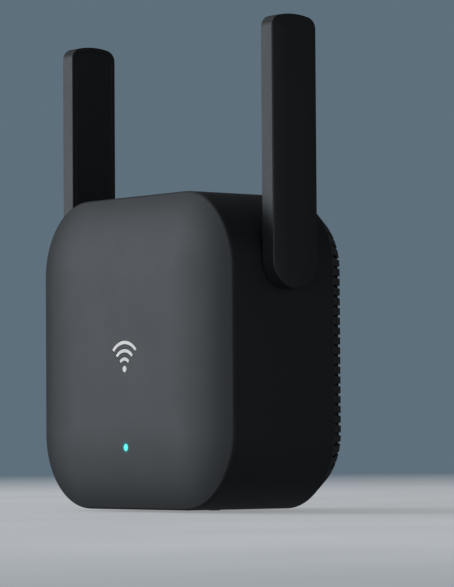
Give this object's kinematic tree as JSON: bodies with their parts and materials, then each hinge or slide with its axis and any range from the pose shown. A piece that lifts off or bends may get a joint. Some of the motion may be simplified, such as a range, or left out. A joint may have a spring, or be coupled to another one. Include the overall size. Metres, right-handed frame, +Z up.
{
  "type": "wifi range extender",
  "caption": "Square plug-in wifi range extender with a crowned front cover, a vented tapered back, folding paddle antennas, a status light and a reset button.",
  "frame": {"origin": "middle of the plug's seating face at the back, halfway between the two blades", "axes": "+X to the right as seen from the front, +Y out of the back along the plug blades, +Z up along the raised antennas"},
  "size_m": [0.0852, 0.0568, 0.1169],
  "materials": {
    "cover_plastic": "fine matte moulded texture",
    "housing_plastic": "matte moulded texture",
    "rear_plastic": "matte moulded texture",
    "antenna_plastic": "fine matte moulded texture",
    "button_plastic": "smooth satin",
    "emblem_metal": "bright satin foil",
    "light_pipe": "clear moulding lit cyan from inside",
    "plated_brass": "nickel plated",
    "plug_moulding": "matte moulded texture",
    "circuit_board": "green solder mask",
    "tinned_steel": "tin plated sheet",
    "chip_epoxy": "moulded epoxy",
    "silicone_pad": "soft matte",
    "aluminium": "brushed sheet",
    "ferrite": "sintered, matte",
    "winding_tape": "polyester tape",
    "capacitor_sleeve": "shrink sleeve",
    "ceramic_blue": "dipped coating",
    "fuse_body": "ceramic body",
    "insulation_film": "polyester film",
    "coax_jacket": "extruded jacket",
    "screw_steel": "zinc plated, darkened",
    "spring_steel": "bright",
    "switch_body": "moulded nylon",
    "led_package": "moulded, clear lens"
  },
  "bodies": {
    "housing": {"front_cover": "cover_plastic", "emblem_dot": "emblem_metal", "emblem_arc_inner": "emblem_metal", "emblem_arc_middle": "emblem_metal", "emblem_arc_outer": "emblem_metal", "main_housing": "housing_plastic", "rear_cover": "rear_plastic", "housing_screw_top_left": "screw_steel", "housing_screw_top_right": "screw_steel", "housing_screw_bottom_left": "screw_steel", "housing_screw_bottom_right": "screw_steel", "board_screw_left": "screw_steel", "board_screw_right": "screw_steel", "plug_insert": "plug_moulding", "plug_blade_left": "plated_brass", "plug_blade_right": "plated_brass", "blade_contact_left": "spring_steel", "blade_contact_right": "spring_steel", "main_board": "circuit_board", "wifi_chip": "chip_epoxy", "flash_chip": "chip_epoxy", "thermal_pad": "silicone_pad", "heat_spreader": "aluminium", "status_led": "led_package", "board_header": "switch_body", "antenna_socket_left": "plated_brass", "antenna_socket_right": "plated_brass", "coax_lead_left": "coax_jacket", "coax_lead_right": "coax_jacket", "rf_shield_can": "tinned_steel", "power_board": "circuit_board", "transformer_core": "ferrite", "transformer_winding": "winding_tape", "bridge_rectifier": "chip_epoxy", "choke": "ferrite", "bulk_capacitor_upper": "capacitor_sleeve", "bulk_capacitor_lower": "capacitor_sleeve", "output_capacitor": "capacitor_sleeve", "fuse": "fuse_body", "y_capacitor": "ceramic_blue", "insulation_sheet": "insulation_film", "led_light_pipe": "light_pipe", "reset_switch": "switch_body"},
    "antenna_left": {"antenna_shell_left": "antenna_plastic", "antenna_inner_cover_left": "antenna_plastic", "antenna_element_left": "circuit_board", "antenna_lead_left": "coax_jacket", "friction_washer_left": "spring_steel", "pivot_clip_left": "spring_steel"},
    "antenna_right": {"antenna_shell_right": "antenna_plastic", "antenna_inner_cover_right": "antenna_plastic", "antenna_element_right": "circuit_board", "antenna_lead_right": "coax_jacket", "friction_washer_right": "spring_steel", "pivot_clip_right": "spring_steel"},
    "reset_button": {"reset_button": "button_plastic", "reset_switch_plunger": "button_plastic"}
  },
  "joints": [
    {"name": "antenna_left_hinge", "type": "hinge", "parent": "housing", "child": "antenna_left", "pos_m": [-0.038, -0.02055, 0.01275], "axis": [1, 0, 0], "range_deg": [0, 180]},
    {"name": "antenna_right_hinge", "type": "hinge", "parent": "housing", "child": "antenna_right", "pos_m": [0.038, -0.02055, 0.01275], "axis": [1, 0, 0], "range_deg": [0, 180]},
    {"name": "reset_button_press", "type": "slide", "parent": "housing", "child": "reset_button", "axis": [0, 0, 1], "range_m": [0, 0.0004], "stiffness_N_per_m": 2500}
  ]
}
